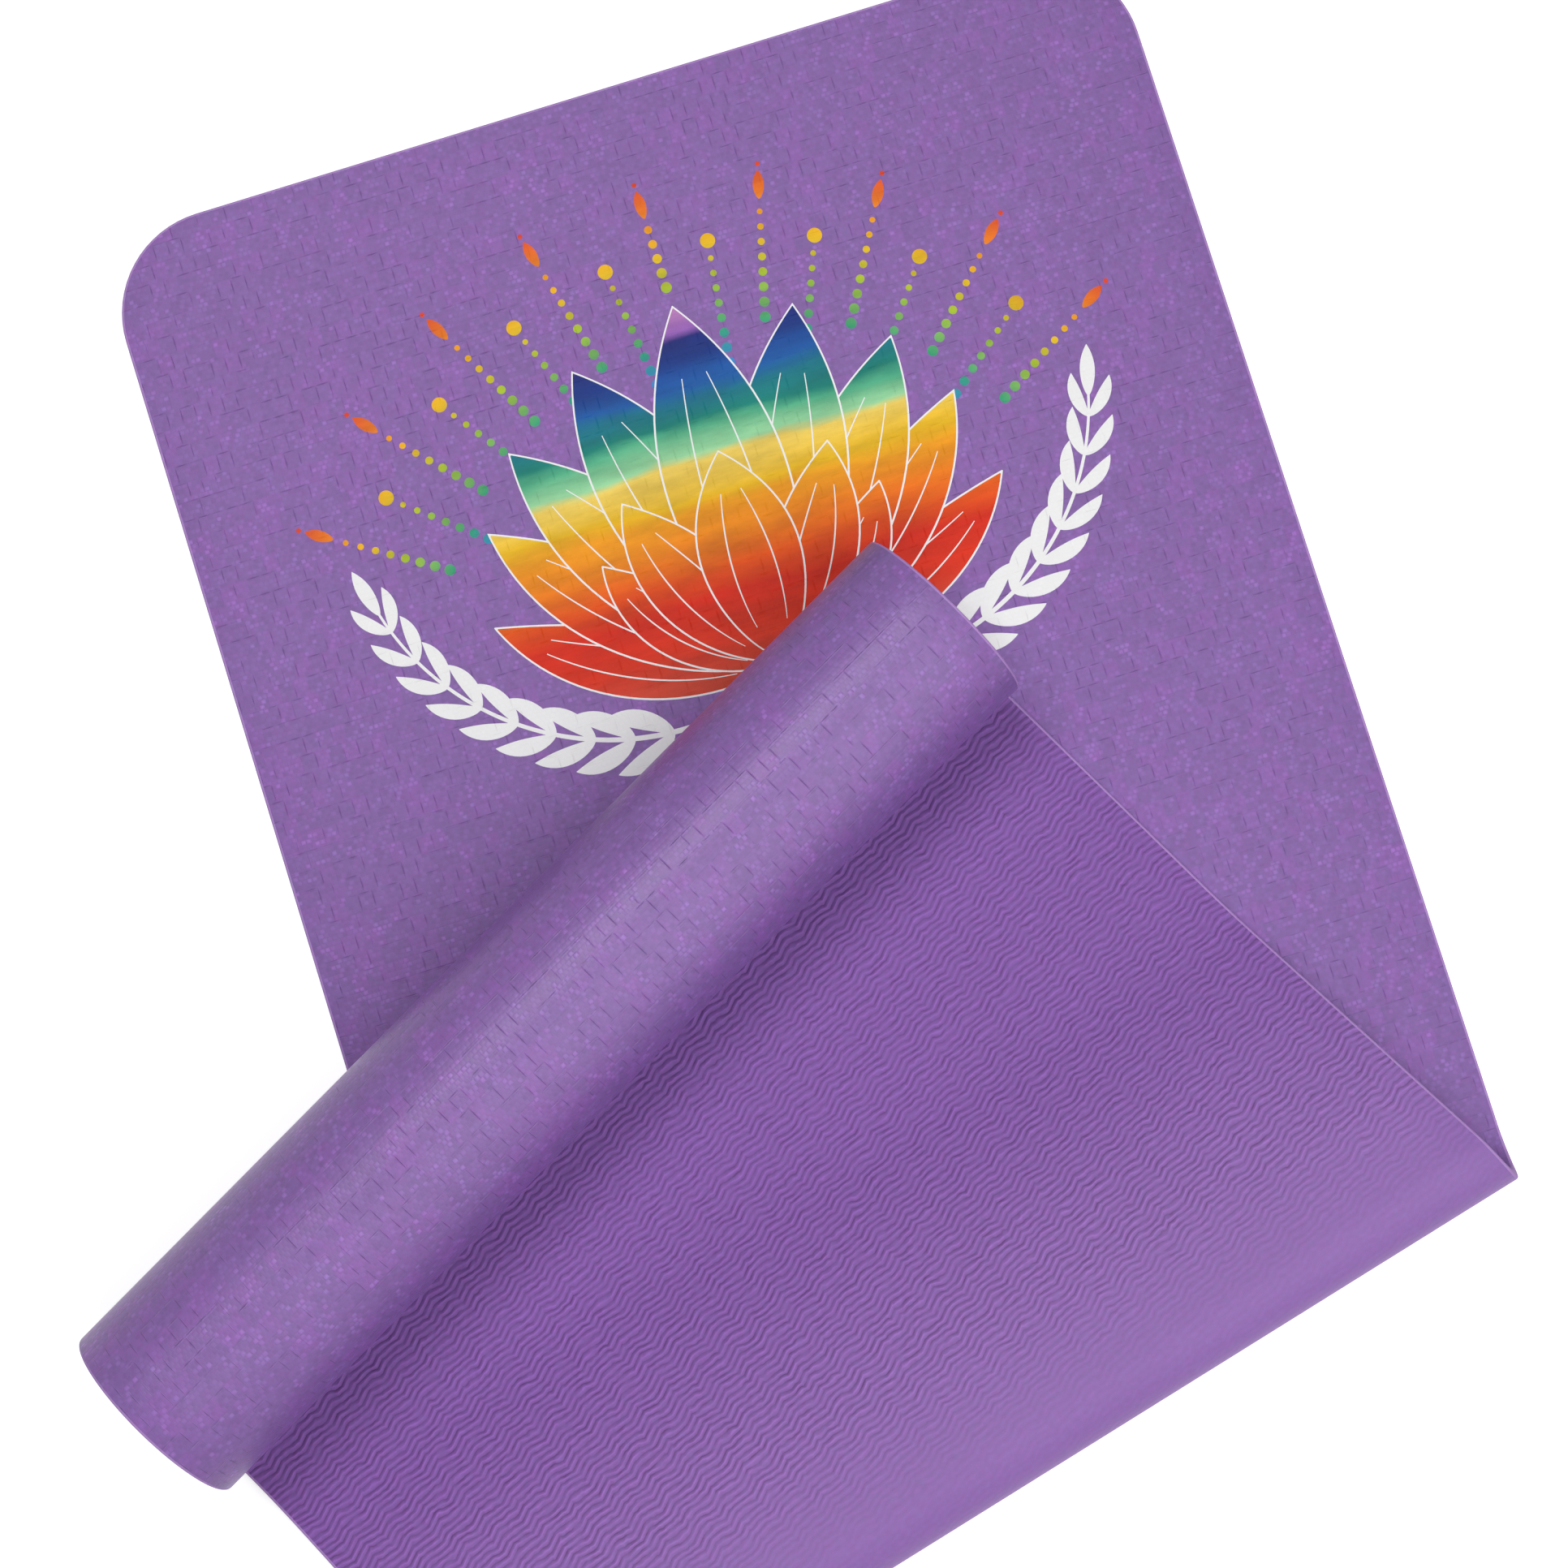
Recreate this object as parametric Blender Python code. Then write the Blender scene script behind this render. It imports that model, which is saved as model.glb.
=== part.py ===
"""
A foam yoga mat, put down half open on a floor.

The head end lies flat with its top face up. The foot end is folded over it on a slant, so that the
underside shows, and the rest is rolled up on top of that flap with the top face outside.

The mat is a sheet of two foam layers, bonded face to face. Foam bends anywhere, and a solid doesn't,
so each layer is cut across into strips wherever the sheet is curved. A strip keeps the curve that the
mat has there, and hinges to the strip before it on the outer side of the curve, where the two can't
meet as the curve opens. All hinges opened in step lay the mat out flat.

Frame: X runs across the mat, Y along it towards the head end, Z up. The origin is on the underside,
in the middle of the flat part. Lengths are in metres.
"""

import math

import bmesh
import bpy
from mathutils import Matrix, Vector

# The sheet. Its length is that of the flat part, the flap and the roll, together 1.830.
MAT_WIDTH = 0.610
TOP_LAYER = 0.0025
BOTTOM_LAYER = 0.0032
BOND_GAP = 0.0003
CORNER_RADIUS = 0.060

# The flat part and the slanted bend after it, in lengths along the centre line and radii of the
# sheet's middle. The bend turns past half a turn, so the sheet comes down a ramp to the flat part.
FLAT_LENGTH = 0.795
FOLD_SLANT = math.radians(14.0)
BEND_RADIUS = 0.025
BEND_OVERTURN = math.radians(14.0)
LANDING_RADIUS = 0.150

# The flap, from the start of the bend to the start of the roll, and its seat on the flat part
FLAP_LENGTH = 0.423
SEAT_GAP = 0.0003

# The roll: what is wound up, the radius outside its first turn, and the air between turns
ROLL_LENGTH = 0.612
ROLL_RADIUS = 0.0605
TURN_GAP = 0.0010

# The cuts between strips, and how many strips and facets a curve has. All roll strips turn by the
# same angle, except that the last one takes what is left. Edges sharper than the last value stay
# sharp in shading.
CUT_GAP = 0.0003
BEND_STRIPS = 5
ROLL_STRIPS = 20
ROLL_STRIP_TURN = math.radians(34.5)
STRIP_FACETS = 8
CORNER_FACETS = 12
FLAT_CURVE_FACETS = 3
SHARP_EDGE = math.radians(35.0)

# Foam colours, linear, and finishes
TOP_COLOUR = (0.262, 0.136, 0.397)
BOTTOM_COLOUR = (0.245, 0.119, 0.381)
TOP_ROUGHNESS = 0.62
BOTTOM_ROUGHNESS = 0.70

# The heights of the layers above the underside, for a sheet lying flat
THICKNESS = BOTTOM_LAYER + BOND_GAP + TOP_LAYER
HALF_THICKNESS = THICKNESS / 2
LAYERS = {
    "bottom_layer": (0, BOTTOM_LAYER),
    "top_layer": (BOTTOM_LAYER + BOND_GAP, THICKNESS),
}

# Directions: along the fold, away from it over the mat's foot end, and the same for the flap, which
# the fold mirrors: across it and along it towards the roll
UP = Vector((0, 0, 1))
ALONG_FOLD = Vector((math.cos(FOLD_SLANT), math.sin(FOLD_SLANT), 0))
PAST_FOLD = Vector((math.sin(FOLD_SLANT), -math.cos(FOLD_SLANT), 0))
ACROSS_FLAP = Vector((math.cos(2 * FOLD_SLANT), math.sin(2 * FOLD_SLANT), 0))
ALONG_FLAP = Vector((-math.sin(2 * FOLD_SLANT), math.cos(2 * FOLD_SLANT), 0))

# The bend's lengths, square to the fold: the bend proper, the ramp down, and the landing
FLAP_MIDDLE = THICKNESS + SEAT_GAP + HALF_THICKNESS
BEND_TURN = math.pi + BEND_OVERTURN
BEND_LENGTH = BEND_RADIUS * BEND_TURN
BEND_DROP = HALF_THICKNESS + BEND_RADIUS * (1 + math.cos(BEND_OVERTURN)) - FLAP_MIDDLE
LANDING_DROP = LANDING_RADIUS * (1 - math.cos(BEND_OVERTURN))
RAMP_LENGTH = (BEND_DROP - LANDING_DROP) / math.sin(BEND_OVERTURN)
LANDING_START = BEND_LENGTH + RAMP_LENGTH
LANDING_END = LANDING_START + LANDING_RADIUS * BEND_OVERTURN

# The roll's middle line is the involute of a circle, so its turns stay one pitch apart
MAT_LENGTH = FLAT_LENGTH + FLAP_LENGTH + ROLL_LENGTH
FIRST_RADIUS = ROLL_RADIUS - HALF_THICKNESS
CORE_RADIUS = (THICKNESS + TURN_GAP) / (2 * math.pi)


def roll_angle(distance):
    """The angle that the sheet has turned after this distance: distance = R a - c a^2 / 2."""
    rest = FIRST_RADIUS ** 2 - 2 * CORE_RADIUS * distance
    return (FIRST_RADIUS - math.sqrt(rest)) / CORE_RADIUS


# Where the roll's strips begin, as angles that the sheet has turned
ROLL_TURN = roll_angle(ROLL_LENGTH)
STRIP_COUNT = max(1, min(ROLL_STRIPS, round(ROLL_TURN / ROLL_STRIP_TURN)))
STRIP_STARTS = [number * ROLL_STRIP_TURN for number in range(STRIP_COUNT)]

# The middle of the line where the bend starts
FOLD_POINT = Vector((0, -FLAT_LENGTH / 2, 0))


def bend_path(distance):
    """Middle of the sheet at this distance past the fold: how far out, how high, and its heading."""
    heading = min(max(distance, 0), BEND_LENGTH) / BEND_RADIUS
    out = BEND_RADIUS * math.sin(heading)
    high = HALF_THICKNESS + BEND_RADIUS * (1 - math.cos(heading))
    if distance < 0:
        return distance, high, heading
    ramp = min(max(distance - BEND_LENGTH, 0), RAMP_LENGTH)
    out += ramp * math.cos(heading)
    high += ramp * math.sin(heading)
    landed = min(max(distance - LANDING_START, 0), LANDING_END - LANDING_START)
    after = heading - landed / LANDING_RADIUS
    out += LANDING_RADIUS * (math.sin(heading) - math.sin(after))
    high += LANDING_RADIUS * (math.cos(after) - math.cos(heading))
    out -= max(distance - LANDING_END, 0)
    return out, high, after


# The flap's plane carried on meets the fold line this far past it, and the roll leaves the flap at
# the second point, on the flap's centre line
FLAP_SHIFT = bend_path(LANDING_END)[0] + LANDING_END
ROLL_POINT = FOLD_POINT + FLAP_SHIFT * PAST_FOLD + FLAP_LENGTH * ALONG_FLAP


def half_width(along):
    """Half the sheet's width at this distance from its head edge, less at the rounded corners."""
    from_end = min(along, MAT_LENGTH - along)
    if from_end >= CORNER_RADIUS:
        return MAT_WIDTH / 2
    inset = CORNER_RADIUS - from_end
    return MAT_WIDTH / 2 - CORNER_RADIUS + math.sqrt(max(CORNER_RADIUS ** 2 - inset ** 2, 0))


def flat_row(along, height):
    """The two ends of a line across the flat part, at a distance from the head edge."""
    half = half_width(along)
    away = FLAT_LENGTH / 2 - along
    return Vector((-half, away, height)), Vector((half, away, height))


def bend_row(distance, height):
    """The two ends of a line along the fold, from one side edge of the sheet to the other."""
    out, high, heading = bend_path(distance)
    offset = height - HALF_THICKNESS
    out -= offset * math.sin(heading)
    high += offset * math.cos(heading)
    ends = []
    for side in (-1, 1):
        across = (side * MAT_WIDTH / 2 - distance * math.sin(FOLD_SLANT)) / math.cos(FOLD_SLANT)
        ends.append(FOLD_POINT + across * ALONG_FOLD + out * PAST_FOLD + high * UP)
    return ends


def roll_row(distance, height):
    """The two ends of a line across the roll, at a distance past its start, top face outside."""
    angle = roll_angle(max(distance, 0))
    ahead = FIRST_RADIUS * math.sin(angle)
    ahead -= CORE_RADIUS * (angle * math.sin(angle) + math.cos(angle) - 1)
    rise = FIRST_RADIUS * (1 - math.cos(angle))
    rise -= CORE_RADIUS * (math.sin(angle) - angle * math.cos(angle))
    inward = HALF_THICKNESS - height
    ahead += min(distance, 0) - inward * math.sin(angle)
    rise += FLAP_MIDDLE + inward * math.cos(angle)
    half = half_width(FLAT_LENGTH + FLAP_LENGTH + distance)
    centre = ROLL_POINT + ahead * ALONG_FLAP + rise * UP
    return centre - half * ACROSS_FLAP, centre + half * ACROSS_FLAP


def spread(row, start, end, facets):
    """Rows at even distances from start to end."""
    return [(row, start + (end - start) * step / facets) for step in range(facets + 1)]


def flat_rows():
    """Rows of the flat part: round the head corners, then straight to the slanted start of the bend."""
    rows = []
    for step in range(CORNER_FACETS + 1):
        turn = math.pi / 2 * step / CORNER_FACETS
        rows.append((flat_row, CORNER_RADIUS * (1 - math.cos(turn))))
    return rows + [(bend_row, -CUT_GAP / 2)]


def foot_rows(start, end):
    """Rows of a roll strip, with the foot corners' own rows in place of even ones where they begin."""
    round_start = ROLL_LENGTH - CORNER_RADIUS
    rows = [row for row in spread(roll_row, start, end, STRIP_FACETS) if row[1] <= round_start]
    for step in range(CORNER_FACETS + 1):
        turn = math.pi / 2 * step / CORNER_FACETS
        place = ROLL_LENGTH - CORNER_RADIUS * (1 - math.sin(turn))
        if start + CUT_GAP < place < end - CUT_GAP:
            rows.append((roll_row, place))
    ends = [(roll_row, start), (roll_row, end)]
    inner = [row for row in rows if start + CUT_GAP < row[1] < end - CUT_GAP]
    return [ends[0]] + inner + [ends[1]]


def strips():
    """Each strip of the mat: its name, its rows, and its hinge as a row, a height and an axis."""
    gap = CUT_GAP / 2
    found = [("flat", flat_rows(), None)]

    cuts = [BEND_LENGTH * step / BEND_STRIPS for step in range(BEND_STRIPS + 1)]
    for number in range(BEND_STRIPS):
        rows = spread(bend_row, cuts[number] + gap, cuts[number + 1] - gap, STRIP_FACETS)
        found.append((f"bend_{number + 1}", rows, (bend_row, cuts[number], 0, ALONG_FOLD)))

    quarter = (LANDING_END - LANDING_START) / 4
    first = LANDING_START + quarter
    last = LANDING_END - quarter
    rows = [(bend_row, BEND_LENGTH + gap)]
    rows += spread(bend_row, LANDING_START, first - gap, FLAT_CURVE_FACETS)
    found.append(("ramp", rows, (bend_row, BEND_LENGTH, 0, ALONG_FOLD)))
    rows = spread(bend_row, first + gap, last - gap, STRIP_FACETS)
    found.append(("landing", rows, (bend_row, first, THICKNESS, -ALONG_FOLD)))
    rows = spread(bend_row, last + gap, LANDING_END, FLAT_CURVE_FACETS)
    rows.append((roll_row, -gap))
    found.append(("flap", rows, (bend_row, last, THICKNESS, -ALONG_FOLD)))

    starts = [FIRST_RADIUS * turn - CORE_RADIUS * turn ** 2 / 2 for turn in STRIP_STARTS]
    ends = [start - gap for start in starts[1:]] + [ROLL_LENGTH]
    for number, (start, end) in enumerate(zip(starts, ends), 1):
        hinge = (roll_row, start, THICKNESS, -ACROSS_FLAP)
        found.append((f"roll_{number:02d}", foot_rows(start + gap, end), hinge))
    return found


def hinge_place(hinge):
    """The middle of a hinge's line."""
    row, distance, height, _ = hinge
    left, right = row(distance, height)
    return (left + right) / 2


def make_pivot(name, parent, place, axis):
    """An empty on a hinge, its X along the hinge's axis, carried by the strip before it."""
    pivot = bpy.data.objects.new(name, None)
    bpy.context.collection.objects.link(pivot)
    side = UP.cross(axis)
    world = Matrix((axis, side, UP)).transposed().to_4x4()
    world.translation = place
    if parent:
        pivot.parent = parent[0]
        pivot.matrix_local = parent[1].inverted() @ world
    else:
        pivot.matrix_local = world
    return pivot, world


def make_foam(name, colour, roughness):
    """A closed-cell foam: matt, one colour all through."""
    material = bpy.data.materials.new(name)
    material.use_nodes = True
    shader = material.node_tree.nodes["Principled BSDF"]
    shader.inputs["Base Color"].default_value = (*colour, 1)
    shader.inputs["Roughness"].default_value = roughness
    shader.inputs["Metallic"].default_value = 0
    material.diffuse_color = (*colour, 1)
    return material


def make_layer(name, rows, heights, pivot, material):
    """One layer of one strip: a four-sided tube through its rows, closed at both ends."""
    low, high = heights
    to_pivot = pivot[1].inverted()
    body = bmesh.new()
    rings = []
    for row, distance in rows:
        low_left, low_right = row(distance, low)
        high_left, high_right = row(distance, high)
        corners = (low_left, low_right, high_right, high_left)
        rings.append([body.verts.new(to_pivot @ corner) for corner in corners])
    body.faces.new(rings[0])
    body.faces.new(reversed(rings[-1]))
    for ring, following in zip(rings, rings[1:]):
        for corner in range(4):
            beside = (corner + 1) % 4
            body.faces.new((ring[beside], ring[corner], following[corner], following[beside]))
    bmesh.ops.recalc_face_normals(body, faces=body.faces)
    mesh = bpy.data.meshes.new(name)
    body.to_mesh(mesh)
    body.free()
    mesh.shade_smooth()
    mesh.set_sharp_from_angle(angle=SHARP_EDGE)
    mesh.materials.append(material)
    layer = bpy.data.objects.new(name, mesh)
    bpy.context.collection.objects.link(layer)
    layer.parent = pivot[0]
    return layer


def build():
    """Clear the scene and make the mat: a pivot for each strip, with both layers on it."""
    for old in list(bpy.data.objects):
        bpy.data.objects.remove(old, do_unlink=True)
    foams = {
        "bottom_layer": make_foam("bottom_foam", BOTTOM_COLOUR, BOTTOM_ROUGHNESS),
        "top_layer": make_foam("top_foam", TOP_COLOUR, TOP_ROUGHNESS),
    }
    before = None
    for name, rows, hinge in strips():
        if hinge:
            before = make_pivot(f"{name}_pivot", before, hinge_place(hinge), hinge[3])
        else:
            before = make_pivot(f"{name}_pivot", None, Vector((0, 0, 0)), Vector((1, 0, 0)))
        for layer, heights in LAYERS.items():
            make_layer(f"{layer}_{name}", rows, heights, before, foams[layer])


build()
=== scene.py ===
import math

import bpy
import numpy as np
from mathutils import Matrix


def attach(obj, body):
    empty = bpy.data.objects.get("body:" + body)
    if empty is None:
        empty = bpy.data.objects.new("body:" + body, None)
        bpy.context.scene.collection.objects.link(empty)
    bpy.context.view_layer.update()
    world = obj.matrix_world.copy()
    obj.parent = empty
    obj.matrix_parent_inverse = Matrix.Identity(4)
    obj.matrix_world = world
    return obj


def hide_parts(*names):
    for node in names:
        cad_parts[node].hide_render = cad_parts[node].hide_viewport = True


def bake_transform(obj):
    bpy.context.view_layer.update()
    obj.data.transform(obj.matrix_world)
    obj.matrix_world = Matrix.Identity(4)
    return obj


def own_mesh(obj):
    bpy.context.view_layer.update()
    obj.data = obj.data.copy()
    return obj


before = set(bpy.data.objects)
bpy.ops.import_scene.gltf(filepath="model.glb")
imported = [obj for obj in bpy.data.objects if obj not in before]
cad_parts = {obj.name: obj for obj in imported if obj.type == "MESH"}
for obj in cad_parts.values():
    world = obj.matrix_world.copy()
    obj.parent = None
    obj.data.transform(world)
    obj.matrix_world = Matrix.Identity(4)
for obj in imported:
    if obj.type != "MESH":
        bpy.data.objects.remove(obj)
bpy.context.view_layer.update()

# The view. The camera looks down on the mat from about 1.8 m, nearly upright and turned about its own
# axis, so that the mat runs from the top right to the bottom left. The picture is square.
PICTURE_SIDE = 1932
FOCAL_PIXELS = 3877
SENSOR = 36
NEAREST, FARTHEST = 0.05, 50
CAMERA_PLACE = (-0.0677, -0.1428, 1.787)
CAMERA_TURN = (4.27, -0.22, -17.46)

lens = bpy.data.cameras.new("camera")
lens.sensor_width = SENSOR
lens.lens = FOCAL_PIXELS / PICTURE_SIDE * SENSOR
lens.clip_start, lens.clip_end = NEAREST, FARTHEST
camera = bpy.data.objects.new("camera", lens)
camera.location = CAMERA_PLACE
camera.rotation_euler = [math.radians(angle) for angle in CAMERA_TURN]
bpy.context.scene.collection.objects.link(camera)
bpy.context.scene.camera = camera

# The sheet. The mat is a sheet of closed-cell foam, 610 by 1830 mm and 6 mm thick, of two layers that
# are bonded face to face and die cut with rounded corners. It lies flat at its head, is folded over
# on a slant, and its foot is rolled up on the flap. All lengths are along or above its underside.
WIDTH = 0.610
THICKNESS = 0.0060
BOND = 0.0032
CORNER = 0.060
FLAT = 0.795
FLAP = 0.423
ROLLED = 0.612
LENGTH = FLAT + FLAP + ROLLED
SLANT = math.radians(14)

# The bend past the fold line, its ramp down, and its landing on the flat part
BEND_RADIUS = 0.025
OVERTURN = math.radians(14)
LANDING_RADIUS = 0.150
SEAT_GAP = 0.0003
FLAP_MIDDLE = THICKNESS * 1.5 + SEAT_GAP
BEND_END = BEND_RADIUS * (math.pi + OVERTURN)
drop = THICKNESS / 2 + BEND_RADIUS * (1 + math.cos(OVERTURN)) - FLAP_MIDDLE
drop -= LANDING_RADIUS * (1 - math.cos(OVERTURN))
LANDING_START = BEND_END + drop / math.sin(OVERTURN)
LANDING_END = LANDING_START + LANDING_RADIUS * OVERTURN

# The roll: its first turn's middle radius, and the core of the involute that it follows
ROLL_RADIUS = 0.0605
TURN_GAP = 0.0010
FIRST_RADIUS = ROLL_RADIUS - THICKNESS / 2
CORE = (THICKNESS + TURN_GAP) / (2 * math.pi)

UP = np.array([0, 0, 1])
ALONG_FOLD = np.array([math.cos(SLANT), math.sin(SLANT), 0])
PAST_FOLD = np.array([math.sin(SLANT), -math.cos(SLANT), 0])
ACROSS_FLAP = np.array([math.cos(2 * SLANT), math.sin(2 * SLANT), 0])
ALONG_FLAP = np.array([-math.sin(2 * SLANT), math.cos(2 * SLANT), 0])
FOLD_POINT = np.array([0, -FLAT / 2, 0])


def fold_path(past):
    """The sheet's middle at a distance past the fold, square to it: how far out, how high, its heading.

    It runs round an arc, straight down a ramp, round a slight arc back to level, and straight on.
    """
    turn = np.clip(past, 0, BEND_END) / BEND_RADIUS
    ramp = np.clip(past, BEND_END, LANDING_START) - BEND_END
    heading = turn - (np.clip(past, LANDING_START, LANDING_END) - LANDING_START) / LANDING_RADIUS
    out = BEND_RADIUS * np.sin(turn) + ramp * np.cos(turn) + np.minimum(past, 0)
    out = out + LANDING_RADIUS * (np.sin(turn) - np.sin(heading)) - np.maximum(past - LANDING_END, 0)
    high = THICKNESS / 2 + BEND_RADIUS * (1 - np.cos(turn)) + ramp * np.sin(turn)
    high = high + LANDING_RADIUS * (np.cos(heading) - np.cos(turn))
    return out, high, heading


FLAP_SHIFT = fold_path(LANDING_END)[0] + LANDING_END
ROLL_POINT = FOLD_POINT + FLAP_SHIFT * PAST_FOLD + FLAP * ALONG_FLAP


def roll_angle(wound):
    """The angle a turned after a length s is wound up, from s = R a - c a^2 / 2."""
    return (FIRST_RADIUS - np.sqrt(FIRST_RADIUS ** 2 - 2 * CORE * wound)) / CORE


def lay(across, along, height):
    """The place of points of the sheet, from their places across it, along it and above its underside.

    Before the roll a point follows the fold's path. In the roll it follows the involute of a circle:
    ahead = R sin a - c (a sin a + cos a - 1), rise = R (1 - cos a) - c (sin a - a cos a). Each point
    then stands off the middle of the sheet along the sheet's normal.
    """
    across, along, height = np.broadcast_arrays(across, along, height)
    off = height - THICKNESS / 2
    past = across * math.sin(SLANT) + (along - FLAT) * math.cos(SLANT)
    side = across * math.cos(SLANT) - (along - FLAT) * math.sin(SLANT)
    out, high, heading = fold_path(past)
    out = out - off * np.sin(heading)
    high = high + off * np.cos(heading)
    folded = FOLD_POINT + side[..., None] * ALONG_FOLD
    folded = folded + out[..., None] * PAST_FOLD + high[..., None] * UP
    angle = roll_angle(np.maximum(along - FLAT - FLAP, 0))
    ahead = FIRST_RADIUS * np.sin(angle) - CORE * (angle * np.sin(angle) + np.cos(angle) - 1)
    rise = FIRST_RADIUS * (1 - np.cos(angle)) - CORE * (np.sin(angle) - angle * np.cos(angle))
    ahead = ahead + off * np.sin(angle)
    rise = rise + FLAP_MIDDLE - off * np.cos(angle)
    rolled = ROLL_POINT + across[..., None] * ACROSS_FLAP
    rolled = rolled + ahead[..., None] * ALONG_FLAP + rise[..., None] * UP
    return np.where((along > FLAT + FLAP)[..., None], rolled, folded)


def fill(tree, node, inputs):
    """Links sockets to a node's inputs and sets numbers on them, by the input's name or place."""
    for name, value in dict(inputs).items():
        if isinstance(value, bpy.types.NodeSocket):
            tree.links.new(value, node.inputs[name])
        else:
            node.inputs[name].default_value = value


def add(tree, kind, inputs=(), **settings):
    """A shader node with its settings made and its inputs linked or set. Gives its first output."""
    node = tree.nodes.new("ShaderNode" + kind)
    for name, value in settings.items():
        setattr(node, name, value)
    fill(tree, node, inputs)
    return next(socket for socket in node.outputs if socket.enabled)


def sums(tree, operation, *values, clamp=False):
    """A maths node on sockets or numbers."""
    return add(tree, "Math", enumerate(values), operation=operation, use_clamp=clamp)


def ease(tree, value, low, high, first=0, last=1):
    """A smooth change from a first number to a last, as a value goes from low to high."""
    ends = {"Value": value, "From Min": low, "From Max": high, "To Min": first, "To Max": last}
    return add(tree, "MapRange", ends, interpolation_type="SMOOTHSTEP")


def split(tree, place):
    """A point's three coordinates, by name."""
    node = tree.nodes.new("ShaderNodeSeparateXYZ")
    tree.links.new(place, node.inputs[0])
    return node.outputs


def new_group(name, inputs, outputs):
    """An empty node group, with inputs and outputs given as name to socket type."""
    group = bpy.data.node_groups.new(name, "ShaderNodeTree")
    for way, sockets in (("INPUT", inputs), ("OUTPUT", outputs)):
        for socket, kind in sockets.items():
            group.interface.new_socket(socket, in_out=way, socket_type=kind)
    return group, group.nodes.new("NodeGroupInput"), group.nodes.new("NodeGroupOutput")


def use_group(tree, group, inputs):
    """A node group placed in a material. Gives the node, for its outputs."""
    node = tree.nodes.new("ShaderNodeGroup")
    node.node_tree = group
    fill(tree, node, inputs)
    return node


def new_material(name, roughness, specular):
    """A material with one Principled shader. Gives the material, its node tree and the shader."""
    material = bpy.data.materials.new(name)
    material.use_nodes = True
    tree = material.node_tree
    shader = tree.nodes["Principled BSDF"]
    shader.inputs["Roughness"].default_value = roughness
    shader.inputs["Specular IOR Level"].default_value = specular
    return material, tree, shader


# What all the foam shares: fine cells that the skin hardly covers, and the faint clouding of a foamed
# colour. Patterns follow the sheet, on an attribute that holds each point's place across, along and
# above the underside.
VALUE, VECTOR = "NodeSocketFloat", "NodeSocketVector"
PORE_SCALE, CLOUD_SCALE, SPECK_SCALE, BLOTCH_SCALE = 1400, 11, 260, 240
CLOUD_DEPTH, SPECK_DEPTH, HUE_DEPTH = 0.10, 0.20, 0.20

foam_grain, given, result = new_group(
    "foam_grain", {"Place": VECTOR}, {"Shade": VALUE, "Hue": VECTOR, "Height": VALUE})
pores = add(foam_grain, "TexNoise", {"Vector": given.outputs["Place"], "Scale": PORE_SCALE, "Detail": 2})
cloud = add(foam_grain, "TexNoise", {"Vector": given.outputs["Place"], "Scale": CLOUD_SCALE, "Detail": 3})
speck = add(foam_grain, "TexNoise", {"Vector": given.outputs["Place"], "Scale": SPECK_SCALE, "Detail": 2})
shade = sums(foam_grain, "MULTIPLY_ADD", cloud, CLOUD_DEPTH, 1 - CLOUD_DEPTH / 2)
shade = sums(foam_grain, "SUBTRACT", shade, SPECK_DEPTH / 2)
shade = sums(foam_grain, "MULTIPLY_ADD", speck, SPECK_DEPTH, shade)
foam_grain.links.new(shade, result.inputs["Shade"])
blotch = add(foam_grain, "TexNoise", {"Vector": given.outputs["Place"], "Scale": BLOTCH_SCALE, "Detail": 3})
warmer = sums(foam_grain, "MULTIPLY_ADD", blotch, HUE_DEPTH, 1 - HUE_DEPTH / 2)
cooler = sums(foam_grain, "MULTIPLY_ADD", blotch, -HUE_DEPTH, 1 + HUE_DEPTH / 2)
hue = add(foam_grain, "CombineXYZ", {"X": warmer, "Y": cooler, "Z": 1.0})
foam_grain.links.new(hue, result.inputs["Hue"])
foam_grain.links.new(pores, result.inputs["Height"])

# The emboss of the top face: a fine weave of staggered pillows, some of which stand out in groups, under
# larger staggered tiles. The pillows that stand out are raised, and their tops are painted lighter, a
# painted glint. Each tile has a stroke pressed in along one or two of its sides, faint where a group
# stands out, with painted shade in the pressed line and a painted highlight on the raised line beside it.
# Patches of tiles are a little pinker.
PILLOW_ACROSS, PILLOW_ALONG = 0.0030, 0.0027
TILE_ACROSS, TILE_ALONG = 0.0082, 0.0106
SWELL_POWER, LUCK_POWER = 0.6, 4
GROUP_SCALE, GROUP_LOW, GROUP_HIGH = 75, 0.38, 0.64
STROKE = 0.058                          # a stroke's half width, as a share of its tile's side
LOW_BELOW, LEFT_ABOVE = 0.55, 0.38      # the luck of tiles with a stroke along their low and left sides
STROKE_MOST = 1.25
PATCH_SCALE, PATCH_GAIN, PATCH_SHIFT = 22, 1.6, 1.15
PATCH_LOW, PATCH_HIGH = 0.22, 0.60
BRIGHT_HEIGHT, SWELL_HEIGHT, TILE_HEIGHT, STROKE_HEIGHT = 0.9, 0.3, 0.4, -0.75
# The shades are painted into the colour: a painted glint on the pillows that stand out, a random tone of
# pillows and tiles, and the strokes' painted shade and highlight.
GLINT_PAINTED_LIGHT, LEVEL_SHADE, TILE_SHADE, STROKE_PAINTED_LIGHT = 0.34, 0.22, 0.08, -0.15
GROUND_SHADE = 0.965

weave, given, result = new_group(
    "weave", {"Place": VECTOR}, {"Shade": VALUE, "Height": VALUE, "Tint": VALUE})
place = split(weave, given.outputs["Place"])


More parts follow.
